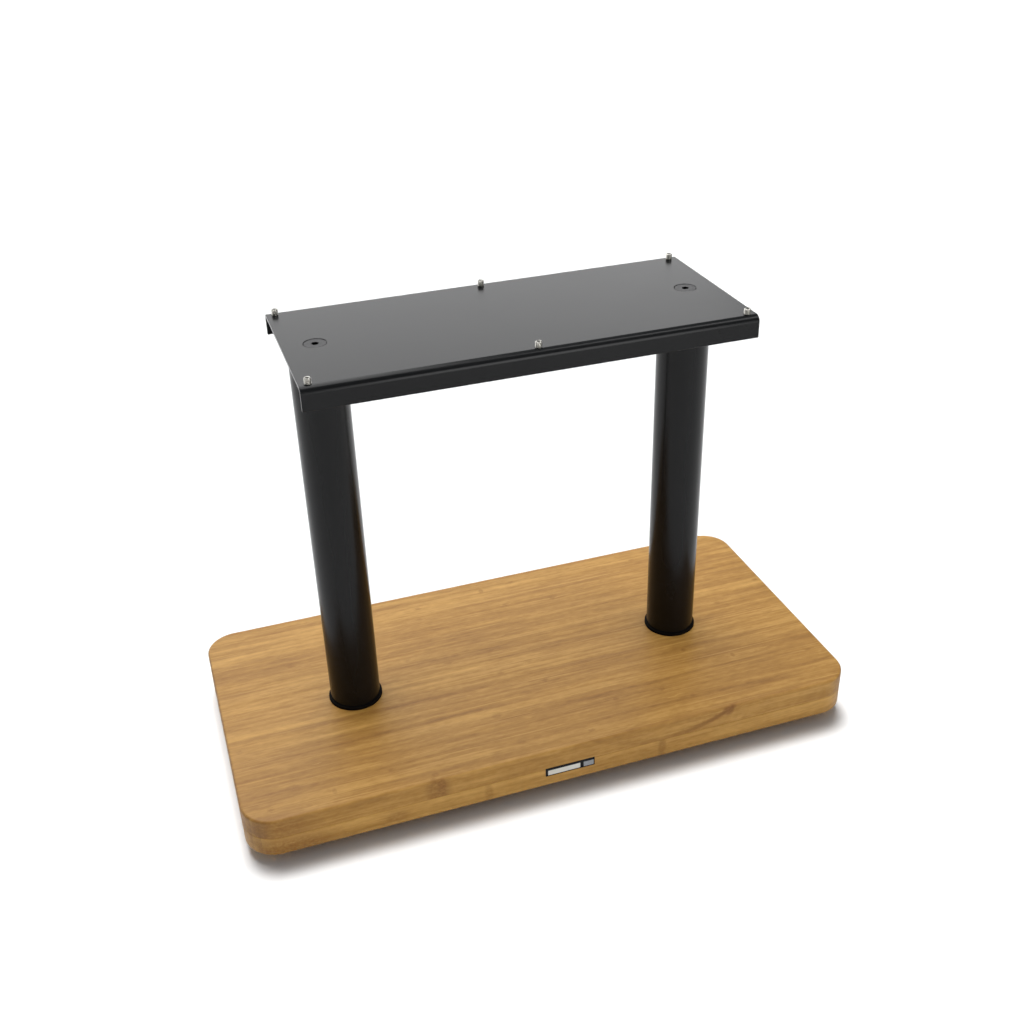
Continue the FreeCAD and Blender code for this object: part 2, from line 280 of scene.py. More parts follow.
def joints(tree, split, number, share, random, seed, first_joint, ragged):
    """Darkness of the nearest joint, from 0 to 1, and the distance from it. Along the
    strip the distance is x over the spacing plus the strip's random phase, folded about
    its nearest whole number. The front strip's phase is given, so its joints lie where
    the photograph has them."""
    not_front = maths(tree, "MINIMUM", number, 1.0)
    phase = maths(tree, "MULTIPLY_ADD", random.outputs["Value"], not_front, first_joint)
    along = maths(tree, "MULTIPLY_ADD", split.outputs["X"], 1 / (JOINT_SPACING_MM * MM), phase)
    apart = maths(tree, "PINGPONG", along, 0.5)
    near = maths(tree, "MULTIPLY", apart, JOINT_SPACING_MM / JOINT_LENGTH_MM)
    beside = maths(tree, "MULTIPLY_ADD", share, 2 * JOINT_WIDTH, -JOINT_WIDTH)
    place = add(tree, "ShaderNodeCombineXYZ", {"X": near, "Y": beside, "Z": 0.0}).outputs[0]
    rough = maths(tree, "MULTIPLY_ADD", ragged, 2.0, -1.0)
    far = maths(tree, "ADD", vector_length(tree, place), rough)
    which = maths(tree, "ROUND", along)
    left = dice(tree, number, which, seed + 0.25).outputs["Value"]
    left = spread(tree, left, 0.0, JOINT_DARKEST, 0.45, 1.0)
    core = spread(tree, far, 1.0, 0.0, 0.2, 1.2, smooth=True)
    return maths(tree, "MULTIPLY", core, left), far


# %% [markdown]
# The photograph shows a few marks that anyone would know this stand by: a dark joint on
# the front edge near the left pillar, a streak that climbs the right half of the front
# edge in a curve, and two small joints on the lower board. A soft spot makes the
# joints, and a parabola makes the streak.

# %% Bamboo: marks placed one by one
STREAK_SWAY_MM = 3.0          # from one side of its curve to the other
STREAK_DEPTH_MM = (1.0, 5.0)  # it fades between these depths behind the front face
STREAK_RUN_OUT_MM = 6.0
STREAK_FULL_MM = 10.0         # it is at its full strength this far before its end


def soft_spot(tree, place, ragged, centre_mm, radii_mm, tilt=0.0):
    """1 at a centre and 0 beyond a radius for each axis: the distance from the centre,
    each axis divided by its radius, roughened a little, through a smooth step. Tilt
    turns it about Y."""
    moved = add(tree, "ShaderNodeMapping",
                {"Vector": place, "Location": tuple(c * MM for c in centre_mm),
                 "Rotation": (0.0, tilt, 0.0), "Scale": tuple(r * MM for r in radii_mm)},
                vector_type="TEXTURE")
    far = maths(tree, "MULTIPLY_ADD", ragged, 0.5, vector_length(tree, moved.outputs[0]))
    return spread(tree, far, 1.0, 0.0, 0.65, 1.2, smooth=True)


def climbing_streak(tree, split, ragged, start_mm, end_mm, low_mm, bend_per_mm, width_mm,
                    strength):
    """1 on a parabola on the front face and 0 a width away: height less low, less the
    bend times the square of x less the start. It fades in from its start."""
    run = maths(tree, "SUBTRACT", split.outputs["X"], start_mm * MM)
    square = maths(tree, "MULTIPLY", run, run)
    rise = maths(tree, "MULTIPLY_ADD", square, bend_per_mm / MM, low_mm * MM)
    off = maths(tree, "SUBTRACT", split.outputs["Z"], rise)
    sway = maths(tree, "MULTIPLY_ADD", ragged, STREAK_SWAY_MM * MM, -STREAK_SWAY_MM / 2 * MM)
    off = maths(tree, "ABSOLUTE", maths(tree, "ADD", off, sway))
    line = spread(tree, off, 1.0, 0.0, 0.15 * width_mm * MM, width_mm * MM, smooth=True)
    fade_in = spread(tree, split.outputs["X"], 0.3, 1.0, start_mm * MM,
                     (end_mm - STREAK_FULL_MM) * MM)
    stop = spread(tree, split.outputs["X"], 1.0, 0.0, end_mm * MM,
                  (end_mm + STREAK_RUN_OUT_MM) * MM)
    skin = spread(tree, split.outputs["Y"], 1.0, 0.0,
                  *((FRONT_MM + depth) * MM for depth in STREAK_DEPTH_MM))
    for part in (fade_in, stop, skin, strength):
        line = maths(tree, "MULTIPLY", line, part)
    return line


# %% [markdown]
# The tone of a place adds up from several things: the strip's own tone, a slope across
# the strip where it runs from the heart of the wall to the skin, short flecks some eight
# millimetres long, patches a few strips wide, long fibres, and a slow drift. Each is
# taken about its middle and weighed. The sum picks a colour between dark and light
# caramel, and a few pale threads run through it.

# %% Bamboo: tone
BAMBOO_DARK, BAMBOO_MIDDLE, BAMBOO_LIGHT = "#825824", "#a37838", "#c2964f"
TONE_WEIGHTS = {"strip": 0.14, "slope": 0.06, "fine": 0.10, "fleck": 0.46, "patch": 0.48,
                "fibre": 0.42, "drift": 0.9}
RAMP_ENDS = (0.05, 0.95)      # the tones where the darkest and the lightest colour stand


def wood_patterns(tree, place, near_joint, share, random, seed):
    """Every pattern inside the strips, by name. Fibres lean aside as they pass a joint.
    Fine fibres and threads belong to one strip, so their place is moved by the strip's
    random colour. The others run on from strip to strip."""
    lean = spread(tree, near_joint, 0.9 * MM, 0.0, 0.2, 2.4, smooth=True)
    aside = add(tree, "ShaderNodeCombineXYZ", {"X": 0.0, "Y": lean, "Z": lean}).outputs[0]
    bent = vector_sum(tree, place, aside)
    own = vector_sum(tree, random.outputs["Color"], bent)
    shared = vector_sum(tree, bent, (seed, seed, seed))
    return {
        "strip": random.outputs["Value"],
        "slope": share,
        "fine": grain(tree, own, (24.0, 0.55, 0.6), detail=3.0, roughness=0.6),
        "fleck": grain(tree, shared, (8.0, 2.6, 2.6), detail=3.0),
        "patch": grain(tree, shared, (32.0, 5.0, 6.0)),
        "fibre": grain(tree, shared, (110.0, 3.4, 3.6), detail=1.0),
        "drift": grain(tree, shared, (260.0, 10.0, 8.0)),
        "thread": grain(tree, own, (90.0, 1.9, 1.9), detail=1.0),
    }


def wood_colour(tree, patterns, tone):
    """The weighed patterns added to a middle tone, through a ramp of three colours, and
    the pale threads over it."""
    total = tone
    for name, weight in TONE_WEIGHTS.items():
        about_middle = maths(tree, "SUBTRACT", patterns[name], 0.5)
        total = maths(tree, "MULTIPLY_ADD", about_middle, weight, total)
    colour = add(tree, "ShaderNodeValToRGB", {"Fac": total})
    dark, light = colour.color_ramp.elements
    dark.position, light.position = RAMP_ENDS
    dark.color, light.color = linear(BAMBOO_DARK), linear(BAMBOO_LIGHT)
    colour.color_ramp.elements.new(0.5).color = linear(BAMBOO_MIDDLE)
    thread = spread(tree, patterns["thread"], 0.0, 0.5, 0.60, 0.76)
    return blend(tree, thread, colour.outputs[0], BAMBOO_LIGHT)


# %% [markdown]
# Where a strip is sawn across, on the round ends, the eye sees the fibre bundles as dark
# dots. There are more of them towards a strip's skin side, and each strip is darker or
# lighter than its neighbour, so the ends show how the board is built up.

# %% Bamboo: end grain
BUNDLES_PER_METRE = (60.0, 1500.0, 1500.0)


def end_grain(tree, place, share, random):
    """Darkness of the cut ends, from 0 to 1: the distance from the nearest bundle, on
    faces that look along X."""
    normal = add(tree, "ShaderNodeTexCoord").outputs["Normal"]
    facing = add(tree, "ShaderNodeSeparateXYZ", {0: normal}).outputs["X"]
    end = spread(tree, maths(tree, "ABSOLUTE", facing), 0.0, 1.0, 0.12, 0.85, smooth=True)
    cut = add(tree, "ShaderNodeMapping", {"Vector": place, "Scale": BUNDLES_PER_METRE})
    bundle = add(tree, "ShaderNodeTexVoronoi", {"Vector": cut.outputs[0], "Scale": 1.0})
    dense = maths(tree, "MULTIPLY_ADD", share, 0.3, bundle.outputs["Distance"])
    speckle = spread(tree, dense, 0.75, 0.2, 0.2, 0.75)
    speckle = maths(tree, "MULTIPLY_ADD", random.outputs["Value"], 0.35, speckle)
    return maths(tree, "MULTIPLY", speckle, end, clamp=True)


# %% [markdown]
# The whole finish lays these over each other: the colour of the wood, the joints and the
# marks, the end grain, and on top a satin lacquer that shows the fibres as faint relief.

# %% Bamboo: the whole finish
BAMBOO_JOINT, BAMBOO_END = "#764b1f", "#6b4d30"
LACQUER_ROUGHNESS = (0.44, 0.54)
FIBRE_RELIEF_MM, LACQUER_RELIEF_MM, LACQUER_LUMP_MM = 0.02, 0.004, 1.2


def bamboo(name, seed, first_joint_mm, tone, spots, streak=None):
    """Steamed bamboo, strips on edge, satin lacquer. Tone goes from 0, dark, to 1, light.
    A spot is a darker place: centre, radii, tilt and strength."""
    material, tree, place = start_material(name)
    split, number, share, random = strips(tree, place, seed)
    ragged = grain(tree, place, (3.2, 1.6, 2.2), detail=3.0)
    phase = (-first_joint_mm % JOINT_SPACING_MM) / JOINT_SPACING_MM
    dark, near_joint = joints(tree, split, number, share, random, seed, phase, ragged)
    patterns = wood_patterns(tree, place, near_joint, share, random, seed)
    shade = wood_colour(tree, patterns, tone)

    broken = spread(tree, ragged, 0.45, 1.0)
    for centre, radii, tilt, strength in spots:
        spot = soft_spot(tree, place, ragged, centre, radii, tilt)
        spot = maths(tree, "MULTIPLY", maths(tree, "MULTIPLY", spot, strength), broken)
        dark = maths(tree, "MAXIMUM", dark, spot)
    if streak is not None:
        dark = maths(tree, "MAXIMUM", dark, climbing_streak(tree, split, ragged, **streak))
    shade = blend(tree, dark, shade, BAMBOO_JOINT)
    shade = blend(tree, end_grain(tree, place, share, random), shade, BAMBOO_END)

    lumps = grain(tree, place, (LACQUER_LUMP_MM,) * 3)
    bump = relief(tree, lumps, LACQUER_RELIEF_MM, relief(tree, patterns["fine"], FIBRE_RELIEF_MM))
    finish_material(tree, {"Base Color": shade, "IOR": 1.5, "Specular IOR Level": 0.2,
                           "Roughness": spread(tree, patterns["fibre"], *LACQUER_ROUGHNESS),
                           "Normal": bump})
    return material


# %% [markdown]
# Both boards are cut from the same wood but from other strips, so each has its own seed.
# The marks are placed in millimetres, on the front face or on the top.

# %% Bamboo: this stand's boards
upper_spots = [
    # centre, radii, tilt, strength
    ((-127.0, FRONT_MM, 40.0), (17.0, 4.0, 30.0), 0.0, 0.62),     # dark joint on the front
    ((-124.0, FRONT_MM, 41.0), (8.0, 3.5, 30.0), 0.0, 0.8),       # and its darker core
    ((-127.0, -139.0, TOP_MM), (5.0, 4.0, 4.0), 0.0, 0.5),        # its strip's joint on top
    ((111.0, FRONT_MM, 33.0), (16.0, 3.5, 3.5), -0.1, 0.45),      # where the streak starts
    ((163.0, FRONT_MM, 47.0), (9.0, 3.5, 8.0), 0.3, 0.95),        # where it ends
    ((62.0, FRONT_MM, 44.0), (30.0, 3.0, 1.8), 0.05, 0.25),       # fibres bending in front
    ((-280.0, FRONT_MM, 40.0), (60.0, 14.0, 34.0), 0.0, 0.55),    # the darker left end
    ((0.0, 127.0, TOP_MM), (4.0, 5.0, 4.0), 0.0, 0.5),            # small joints on top
    ((67.0, -98.0, TOP_MM), (5.0, 3.5, 4.0), 0.0, 0.45),
    ((162.0, -50.0, TOP_MM), (4.0, 4.0, 4.0), 0.0, 0.5),
    ((205.0, -75.0, TOP_MM), (3.0, 5.0, 4.0), 0.0, 0.5),
    ((-50.0, -82.0, TOP_MM), (7.0, 4.0, 4.0), 0.0, 0.35),
    ((-40.0, -125.0, TOP_MM), (6.0, 5.0, 4.0), 0.0, 0.3),
    ((-217.0, -128.0, TOP_MM), (3.0, 6.0, 4.0), 0.0, 0.35),
    ((-252.0, -110.0, TOP_MM), (9.0, 4.0, 4.0), 0.0, 0.45),
    ((-60.0, 25.0, TOP_MM), (6.0, 4.0, 4.0), 0.0, 0.3),
    ((-160.0, -33.0, TOP_MM), (170.0, 3.0, 20.0), 0.0, 0.42),     # a dark strip, in two
    ((95.0, -33.0, TOP_MM), (70.0, 3.5, 20.0), 0.0, 0.4),         # lengths
    ((-178.0, -69.0, TOP_MM), (38.0, 10.0, 12.0), 0.0, 0.3),      # darker patches further
    ((150.0, -66.0, TOP_MM), (80.0, 11.0, 12.0), 0.0, 0.26),      # forward
]
upper_streak = dict(start_mm=98.0, end_mm=168.0, low_mm=33.0, bend_per_mm=0.0034,
                    width_mm=4.6, strength=0.8)
lower_spots = [
    ((94.0, FRONT_MM, 22.0), (6.0, 3.0, 16.0), 0.0, 0.5),         # two small joints
    ((-80.0, FRONT_MM, 20.0), (6.0, 3.0, 16.0), 0.0, 0.42),
    ((-167.0, FRONT_MM, 21.0), (16.0, 3.0, 8.0), 0.0, 0.5),       # a darker patch
    ((-270.0, FRONT_MM, 16.0), (75.0, 14.0, 22.0), 0.0, 0.7),     # the darker left end
]
upper_bamboo = bamboo("bamboo_upper_board", 3.0, -130.0, 0.5, upper_spots, upper_streak)
# The lower board's lighter tone, 0.74 against 0.5, is partly its own tone and partly painted
# light: the bounce from the white paper below, painted onto its front edge.
lower_bamboo = bamboo("bamboo_lower_board", 8.0, 94.0, 0.74, lower_spots)
print(f"bamboo in strips of {STRIP_MM} mm, {len(upper_spots) + len(lower_spots)} marks by hand")

# %% [markdown]
# ## Powder coat
# The pillars and the plate are steel with a satin black powder coat: dry powder is
# baked until it melts and flows, which leaves a very slight ripple, like orange peel.
# It gives soft, long highlights on the folds and on the tubes, and no sharp mirror.

# %% Powder coat
RIPPLE_MM, DUST_MM, COAT_CLOUD_MM = 1.6, 0.35, 60.0
RIPPLE_HEIGHT_MM, DUST_HEIGHT_MM = 0.006, 0.003


def powder_coat(name, colours, roughness):
    """Black coat with a ripple some 1.5 mm across and a few microns high."""
    material, tree, place = start_material(name)
    ripple = grain(tree, place, (RIPPLE_MM,) * 3, detail=1.0)
    dust = grain(tree, place, (DUST_MM,) * 3)
    cloud = grain(tree, place, (COAT_CLOUD_MM,) * 3)
    bump = relief(tree, dust, DUST_HEIGHT_MM, relief(tree, ripple, RIPPLE_HEIGHT_MM))
    finish_material(tree, {"Base Color": blend(tree, spread(tree, cloud, 0.0, 1.0), *colours),
                           "IOR": 1.5, "Normal": bump, "Specular IOR Level": 0.18,
                           "Roughness": spread(tree, cloud, roughness - 0.015,
                                               roughness + 0.015)})
    return material


black_coat = powder_coat("powder_coat_black", ("#0f1011", "#121314"), 0.24)
print("powder coat made, ripple", RIPPLE_MM, "mm")

# %% [markdown]
# ## Bare and plated metals
# Four finishes: zinc on bolts, washers, inserts and feet, a warmer, duller zinc on the
# studs, plain turned steel on the plugs inside the tubes, and black oxide on the
# countersunk screws. Zinc is a thin bright layer with a faint cloud in it. Turned steel
# shows fine rings. Black oxide is steel turned black in a hot bath and oiled, so it
# stays a little metallic.

# %% Metals
def metal(name, light, deep, roughness, cloud_mm, mark_mm, height_mm):
    """Metal with a cloud between two tones, and a fine mark stretched by the tool."""
    material, tree, place = start_material(name)
    cloud = grain(tree, place, (cloud_mm,) * 3, detail=3.0)
    marks = grain(tree, place, mark_mm)
    shade = blend(tree, spread(tree, cloud, 0.0, 1.0), light, deep)
    finish_material(tree, {"Base Color": shade, "Metallic": 1.0,
                           "Normal": relief(tree, marks, height_mm),
                           "Roughness": spread(tree, cloud, roughness - 0.04,
                                               roughness + 0.06)})
    return material


zinc = metal("zinc_plated_steel", "#c9ccd0", "#a9adb3", 0.28, 4.0, (0.5, 0.5, 0.12), 0.004)
stud_zinc = metal("bright_zinc_studs", "#b3b1ab", "#98968f", 0.27, 2.5, (0.4, 0.4, 0.1), 0.003)
turned_steel = metal("turned_steel", "#a8a9ab", "#8e9093", 0.32, 5.0, (3.0, 3.0, 0.1), 0.006)
black_oxide = metal("black_oxide_steel", "#1d1d1f", "#141416", 0.34, 2.0, (0.3,) * 3, 0.003)
print("four metals made")

# %% [markdown]
# ## Rubber, nylon and the badge
# The gaskets under the pillars and the soles under the feet are moulded black rubber,
# dull with fine pores. The pads are moulded nylon with the light grain of the mould.
# The badge is a thin anodised plate let into the front edge, left blank, with a bright
# and a grey field on it.

# %% Moulded pieces
HANDLING_MM = 14.0


def moulded(name, colour, worn, roughness, pore_mm, height_mm, level=0.5):
    """Moulded black rubber or plastic: fine pores, and a faint cloud of handling."""
    material, tree, place = start_material(name)
    pores = grain(tree, place, (pore_mm,) * 3, detail=3.0, roughness=0.6)
    cloud = grain(tree, place, (HANDLING_MM,) * 3)
    shade = blend(tree, spread(tree, cloud, 0.0, 1.0), colour, worn)
    finish_material(tree, {"Base Color": shade, "IOR": 1.5, "Specular IOR Level": level,
                           "Roughness": spread(tree, pores, roughness - 0.05,
                                               roughness + 0.05),
                           "Normal": relief(tree, pores, height_mm)})
    return material


gasket_rubber = moulded("moulded_rubber_gasket", "#0b0907", "#0e0b09", 0.7, 0.5, 0.01, level=0.05)
sole_rubber = moulded("moulded_rubber_sole", "#131313", "#1d1c1b", 0.75, 0.7, 0.03)
nylon = moulded("moulded_nylon", "#131415", "#18191a", 0.45, 0.4, 0.008)
print("rubber and nylon made")

# %% Anodised badge
BRUSH_MM = (9.0, 0.15, 0.15)


def anodised(name, colour, edge, roughness):
    """Aluminium brushed along its length and anodised: lines some 0.15 mm apart."""
    material, tree, place = start_material(name)
    lines = grain(tree, place, BRUSH_MM)
    shade = blend(tree, spread(tree, lines, 0.0, 1.0), colour, edge)
    finish_material(tree, {"Base Color": shade, "Metallic": 1.0,
                           "Normal": relief(tree, lines, 0.004),
                           "Roughness": spread(tree, lines, roughness - 0.05,
                                               roughness + 0.05)})
    return material


badge_black = anodised("anodised_black", "#17181a", "#202124", 0.4)
badge_silver = anodised("anodised_silver", "#c6c5bf", "#b8b7b1", 0.38)
badge_grey = anodised("anodised_grey", "#8f9295", "#7d8083", 0.4)
print("badge finishes made")

# %% Give every CAD node its finish
FINISHES = {
    "base_board_upper": upper_bamboo, "base_board_lower": lower_bamboo,
    "badge_plate": badge_black, "badge_field_long": badge_silver,
    "badge_field_short": badge_grey, "base_bolts": zinc, "base_bolt_washers": zinc,
    "foot_inserts": zinc, "top_plate": black_coat, "top_plate_screws": black_oxide,
}
BY_START = {
    "pillar_tube": black_coat, "pillar_gasket": gasket_rubber, "bottom_plug": turned_steel,
    "top_plug": turned_steel, "foot_stem": zinc, "foot_pad": nylon, "foot_sole": sole_rubber,
    "top_stud": stud_zinc,
}
for name, node in nodes.items():
    start = next((s for s in BY_START if name.startswith(s)), None)
    material = FINISHES.get(name) or BY_START[start]
    if not node.data.materials:
        node.data.materials.append(material)
    for slot in node.material_slots:
        slot.material = material
print("finished", len(nodes), "nodes")

# %% [markdown]
# ## Screws with a real thread
# The CAD model stacks plain rings where a screw has its thread. Up close the eye knows
# the difference, so the six studs and the four stems of the feet are made again. Such
# a screw is rolled: a blank turns between dies that press a helix into it. A Screw
# modifier could carry a profile round, but its ends stay open and ragged. A grid does
# it cleanly: one direction goes round the axis, the other runs along the outline, and
# the radius at each crossing follows from the thread's own formula.

# %% Screw surface on a grid
ROUND, THREAD, HEX = 0, 1, 2
ANGLES = 72                   # a multiple of twelve, so a hexagon's corners fall on the grid
ROWS_PER_TURN = 12
GROOVE_DEPTH, ROOT_FLAT, CREST_FLAT = 0.541, 1 / 4, 1 / 8     # shares of the pitch
SHARP_DEGREES = 32


def grid_angles():
    """The angles round the axis, in one row."""
    return np.arange(ANGLES)[None, :] * (2 * np.pi / ANGLES)


def screw_radii(height, radius, kind, pitch):
    """Radius at each row and angle, in mm. A round row has its radius everywhere. A
    hexagon's row divides half its width over the flats by the cosine of the angle from
    the nearest flat. A threaded row takes from the thread's widest radius the depth of a
    60 degree groove, which depends on the height in turns less the share of a turn: flat
    at the bottom over a quarter of the pitch and at the crest over an eighth."""
    angle = grid_angles()
    from_flat = (angle + np.pi / 6) % (np.pi / 3) - np.pi / 6
    hexagon = radius / np.cos(from_flat)
    from_root = np.abs((height / pitch - angle / (2 * np.pi)) % 1.0 - 0.5)
    crest_edge = 0.5 - CREST_FLAT / 2
    flank = crest_edge - ROOT_FLAT / 2
    groove = GROOVE_DEPTH * pitch * np.clip((crest_edge - from_root) / flank, 0.0, 1.0)
    threaded = np.minimum(radius, radius[kind == THREAD].max() - groove)
    return np.where(kind == HEX, hexagon, np.where(kind == THREAD, threaded, radius + 0 * angle))


def screw_surface(name, rows, centre, pitch):
    """A closed screw from rows of (height, radius, kind), from one end of its axis to the
    other, in mm. The rings are joined by squares, and each end is closed by triangles to
    a point on the axis."""
    height, radius, kind = (np.array(column, float)[:, None] for column in zip(*rows))
    angle = grid_angles()
    r = screw_radii(height, radius, kind, pitch)
    ring = np.stack([centre[0] + r * np.cos(angle), centre[1] + r * np.sin(angle),
                     height + 0 * r], -1)
    poles = np.array([[*centre, rows[0][0]], [*centre, rows[-1][0]]])
    points = np.concatenate([ring.reshape(-1, 3), poles]) * MM

    count = len(rows)
    here = np.arange(ANGLES)
    after = (here + 1) % ANGLES
    low = np.arange(count - 1)[:, None] * ANGLES
    quads = np.stack([low + here, low + after, low + ANGLES + after, low + ANGLES + here], -1)
    last = (count - 1) * ANGLES
    bottom = np.stack([after, here, np.full(ANGLES, count * ANGLES)], -1)
    top = np.stack([last + here, last + after, np.full(ANGLES, count * ANGLES + 1)], -1)
    faces = quads.reshape(-1, 4).tolist() + bottom.tolist() + top.tolist()

    mesh = bpy.data.meshes.new(name)
    mesh.from_pydata(points.tolist(), [], faces)
    mesh.update()
    mesh.shade_smooth()
    mesh.set_sharp_from_angle(angle=math.radians(SHARP_DEGREES))
    piece = bpy.data.objects.new(name, mesh)
    scene.collection.objects.link(piece)
    return piece


def threaded_rows(bottom, top, radius, pitch, chamfer_low, chamfer_high):
    """Rows up a threaded length, whose limit is a cone at either end."""
    turns = (top - bottom) / pitch
    levels = np.linspace(bottom, top, int(round(turns * ROWS_PER_TURN)) + 1)
    limit = np.minimum(radius, np.minimum(radius - chamfer_low + (levels - bottom),
                                          radius - chamfer_high + (top - levels)))
    return [(float(z), float(r), THREAD) for z, r in zip(levels, limit)]


# %% [markdown]
# A stud's outline goes up its outside, over the chamfer, across its flat top, down the
# walls of the hexagon socket and along the drilled cone at the bottom of it.

# %% The six studs
STUD_R, STUD_PITCH, STUD_CHAMFER = 3.0, 1.0, 0.7
SOCKET_HALF, SOCKET_DEPTH, SOCKET_BEVEL = 1.5, 3.5, 0.12
CONE_HEIGHT, CONE_INSET, CONE_TIP_R = 0.4, 0.1, 0.2
SOCKET_CORNER_R = SOCKET_HALF / math.cos(math.pi / 6)

for corner in ("front_left", "front_middle", "front_right", "rear_left", "rear_middle",
               "rear_right"):
    node = "top_stud_" + corner
    low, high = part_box(node)
    centre = ((low.x + high.x) / 2 / MM, (low.y + high.y) / 2 / MM)
    bottom, top = low.z / MM, high.z / MM
    rows = threaded_rows(bottom, top, STUD_R, STUD_PITCH, STUD_CHAMFER, STUD_CHAMFER)
    rows += [(top, SOCKET_CORNER_R + SOCKET_BEVEL, ROUND),
             (top - SOCKET_BEVEL, SOCKET_HALF, HEX),
             (top - SOCKET_DEPTH + CONE_HEIGHT, SOCKET_HALF, HEX),
             (top - SOCKET_DEPTH + CONE_HEIGHT, SOCKET_HALF - CONE_INSET, ROUND),
             (top - SOCKET_DEPTH, CONE_TIP_R, ROUND)]
    piece = screw_surface("threaded_" + node, rows, centre, STUD_PITCH)
    piece.data.materials.append(stud_zinc)
    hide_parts(node)
    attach(piece, next(j["child"] for j in frame["joints"]
                        if j["name"] == "stud_height_" + corner))
    print(piece.name, len(piece.data.polygons), "faces")

# %% [markdown]
# A stem starts with the snap spigot inside the pad, widens to the hexagon collar that a
# spanner turns, and goes up into the base as an 8 mm thread.

# %% The four stems
STEM_R, STEM_PITCH, STEM_CHAMFER = 4.0, 1.25, 0.6
SPIGOT_R, BEAD_R = 3.5, 4.2
BEAD_LOW, BEAD_HIGH, BEAD_END = 3.75, 4.35, 4.85
COLLAR_HALF, COLLAR_LOW, COLLAR_HIGH, COLLAR_BEVEL = 6.5, 6.05, 10.95, 0.35

for corner in ("front_left", "front_right", "rear_left", "rear_right"):
    node = "foot_stem_" + corner
    low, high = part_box(node)
    centre = ((low.x + high.x) / 2 / MM, (low.y + high.y) / 2 / MM)
    rows = [(low.z / MM, SPIGOT_R, ROUND), (BEAD_LOW, BEAD_R, ROUND),
            (BEAD_HIGH, BEAD_R, ROUND), (BEAD_END, SPIGOT_R, ROUND),
            (COLLAR_LOW, SPIGOT_R, ROUND),
            (COLLAR_LOW, COLLAR_HALF - COLLAR_BEVEL, HEX),
            (COLLAR_LOW + COLLAR_BEVEL, COLLAR_HALF, HEX),
            (COLLAR_HIGH - COLLAR_BEVEL, COLLAR_HALF, HEX),
            (COLLAR_HIGH, COLLAR_HALF - COLLAR_BEVEL, HEX)]
    rows += threaded_rows(COLLAR_HIGH, high.z / MM, STEM_R, STEM_PITCH, 0.0, STEM_CHAMFER)
    piece = screw_surface("threaded_" + node, rows, centre, STEM_PITCH)
    piece.data.materials.append(zinc)
    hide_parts(node)
    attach(piece, next(j["child"] for j in frame["joints"]
                        if j["name"] == "foot_screw_" + corner))
    print(piece.name, len(piece.data.polygons), "faces")

# %% [markdown]
# ## Floor and backdrop
# The stand stood on white paper. A large white plane does, with a surface dull enough
# to show only the soft shadow under the base. From low angles the eye would look past
# its edge, so a white wall stands round it. The wall shows only to the camera, and so
# it changes nothing in the light or in the reflections.

# %% Floor
FLOOR_HALF = 12.0
PAPER_TOOTH_MM, PAPER_RELIEF_MM = 0.8, 0.01


def stage_piece(name, points, faces, material):
    """A mesh object for the set, in metres, with one material."""
    mesh = bpy.data.meshes.new(name)
    mesh.from_pydata(points.tolist(), [], faces)
    mesh.materials.append(material)
    piece = bpy.data.objects.new(name, mesh)
    scene.collection.objects.link(piece)
    return piece


paper, tree, place = start_material("white_paper")
tooth = grain(tree, place, (PAPER_TOOTH_MM,) * 3)
finish_material(tree, {"Base Color": linear("#fcfcfc"), "Roughness": 0.95,
                       "Specular IOR Level": 0.1,
                       "Normal": relief(tree, tooth, PAPER_RELIEF_MM)})
corners = np.array([[-1, -1, 0], [1, -1, 0], [1, 1, 0], [-1, 1, 0]], float) * FLOOR_HALF
floor = stage_piece("floor", corners, [(0, 1, 2, 3)], paper)
floor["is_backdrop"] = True
print("floor", 2 * FLOOR_HALF, "m wide")

# %% Backdrop
WALL_RADIUS, WALL_HEIGHT, WALL_COLUMNS = 11.0, 14.0, 64
WALL_FOOT = -0.01             # a little below the floor, so no gap shows
WALL_GLOW = 1.05

turns = np.linspace(0.0, 2.0 * math.pi, WALL_COLUMNS, endpoint=False)
ring = np.stack([np.cos(turns), np.sin(turns), 0.0 * turns], axis=1) * WALL_RADIUS
walls = np.concatenate([ring + (0.0, 0.0, WALL_FOOT), ring + (0.0, 0.0, WALL_HEIGHT)])
column = np.arange(WALL_COLUMNS)
after = (column + 1) % WALL_COLUMNS
faces = np.stack([after, column, column + WALL_COLUMNS, after + WALL_COLUMNS], axis=1)
lit, tree, place = start_material("lit_backdrop")
glow = add(tree, "ShaderNodeEmission", {"Color": linear("#ffffff"), "Strength": WALL_GLOW})
add(tree, "ShaderNodeOutputMaterial", {"Surface": glow.outputs[0]})
backdrop = stage_piece("backdrop", walls, faces.tolist(), lit)
for kind in ("diffuse", "glossy", "transmission", "volume_scatter", "shadow"):
    setattr(backdrop, "visible_" + kind, False)
backdrop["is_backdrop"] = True
print("wall", WALL_COLUMNS, "columns round, radius", WALL_RADIUS, "m")

# %% [markdown]
# ## Light
# The photograph tells how the studio was lit. The pillars throw only soft shadows on the
# wood, so the main light is several large soft ones: high on the left, on the right,
# behind and at the front right, with a low one that lifts the front edge. The plate's
# top mirrors a bright sheet behind the stand, and its front fold mirrors a sheet
# overhead, a low one in front and a strip high on the right. The white paper has its
# own light, a wide sheet far up whose rays leave it in a narrow cone, so it falls evenly
# and burns the paper out but for a short shadow under the base. Only the two boards
# shade the paper, because the photograph shows no shadow of the plate on it.
#
# Each light is a plain rectangle. Some show only in gloss and some only light matt
# surfaces, and light linking keeps paper and stand apart. None shows to the camera.

# %% World
ROOM = 0.24
scene.view_settings.view_transform = "Standard"
world = bpy.data.worlds.new("studio")
scene.world = world
world.use_nodes = True
world.node_tree.nodes.clear()
room = add(world.node_tree, "ShaderNodeBackground", {"Color": linear("#fbfcff"), "Strength": ROOM})
add(world.node_tree, "ShaderNodeOutputWorld", {"Surface": room.outputs[0]})
print("room light", ROOM)

